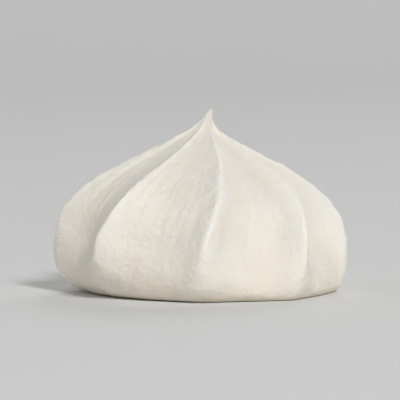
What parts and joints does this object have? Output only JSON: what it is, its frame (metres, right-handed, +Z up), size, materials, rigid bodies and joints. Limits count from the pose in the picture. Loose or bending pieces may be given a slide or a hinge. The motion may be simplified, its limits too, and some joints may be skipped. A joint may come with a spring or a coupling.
{
  "type": "meringue cookie",
  "caption": "Star-piped meringue cookie: a crisp, off-white drop of baked egg-white foam with thin swirling ribs, hollow facets, a flat base and a small pulled peak.",
  "frame": {"origin": "on the flat resting face, on the axis that the cookie was piped along", "axes": "+Z up along the piping axis, from the resting face to the peak; -Y is the side that shows a rib from the front"},
  "size_m": [0.0417, 0.0429, 0.026],
  "materials": {
    "meringue": "dry matt baked foam, warm off-white, slightly toasted underneath"
  },
  "bodies": {
    "root": {"meringue": "meringue"}
  },
  "joints": []
}
